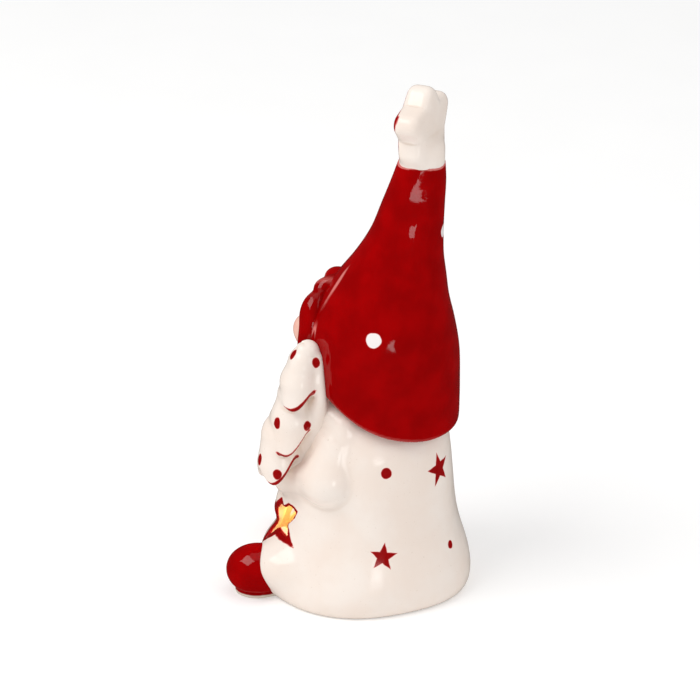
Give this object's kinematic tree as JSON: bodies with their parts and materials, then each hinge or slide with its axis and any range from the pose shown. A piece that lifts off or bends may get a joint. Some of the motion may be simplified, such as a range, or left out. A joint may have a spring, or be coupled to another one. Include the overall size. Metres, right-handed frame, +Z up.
{
  "type": "tomte gnome figurine",
  "caption": "Glazed ceramic gnome in a tall hat, holding a small fir tree, lit from inside through star-shaped windows by a removable battery light in its base.",
  "frame": {"origin": "centre of the robe's foot ring on the surface it stands on", "axes": "+Z up, the figure looks towards -Y, its left hand is towards +X"},
  "size_m": [0.0752, 0.0783, 0.1806],
  "materials": {
    "white_glaze": "glossy ivory-white glaze with hand-painted red stars and dots",
    "red_glaze": "deep glossy red glaze with white dots",
    "skin_glaze": "glossy flesh-pink glaze",
    "beard_glaze": "glossy white glaze over carved locks",
    "white_abs": "fine moulded texture",
    "frosted": "frosted translucent",
    "led_epoxy": "clear warm epoxy",
    "board": "solder mask",
    "black_plastic": "moulded",
    "wire_jacket": "PVC jacket",
    "spring_metal": "plated spring strip",
    "steel": "nickel plated",
    "silicone": "soft silicone"
  },
  "bodies": {
    "root": {"robe": "white_glaze", "left_sleeve": "white_glaze", "right_sleeve": "white_glaze", "left_hand": "skin_glaze", "right_hand": "skin_glaze", "head": "skin_glaze", "nose": "skin_glaze", "beard": "beard_glaze", "hat": "red_glaze", "hat_brim": "red_glaze", "hat_star": "white_glaze", "tree": "white_glaze", "left_shoe": "red_glaze", "right_shoe": "red_glaze"},
    "light_unit": {"lamp_housing": "white_abs", "lamp_cover": "white_abs", "diffuser": "frosted", "led": "led_epoxy", "circuit_board": "board", "switch_body": "black_plastic", "lead_wires": "wire_jacket", "positive_contact": "spring_metal", "negative_contact": "spring_metal", "housing_screws": "steel", "grip_ring": "silicone"},
    "switch": {"switch_knob": "black_plastic"},
    "door": {"battery_door": "white_abs", "coin_cell": "steel"},
    "screw": {"door_screw": "steel"}
  },
  "joints": [
    {"name": "light_unit_pull", "type": "slide", "parent": "root", "child": "light_unit", "axis": [0, 0, -1], "range_m": [0, 0.036]},
    {"name": "switch_slide", "type": "slide", "parent": "light_unit", "child": "switch", "axis": [-1, 0, 0], "range_m": [0, 0.003]},
    {"name": "battery_door_lift", "type": "slide", "parent": "light_unit", "child": "door", "axis": [0, 0, -1], "range_m": [0, 0.014]},
    {"name": "door_screw_turn", "type": "hinge", "parent": "door", "child": "screw", "pos_m": [0.0142, 0.0032, 0.0009], "axis": [0, 0, 1], "continuous": true}
  ]
}
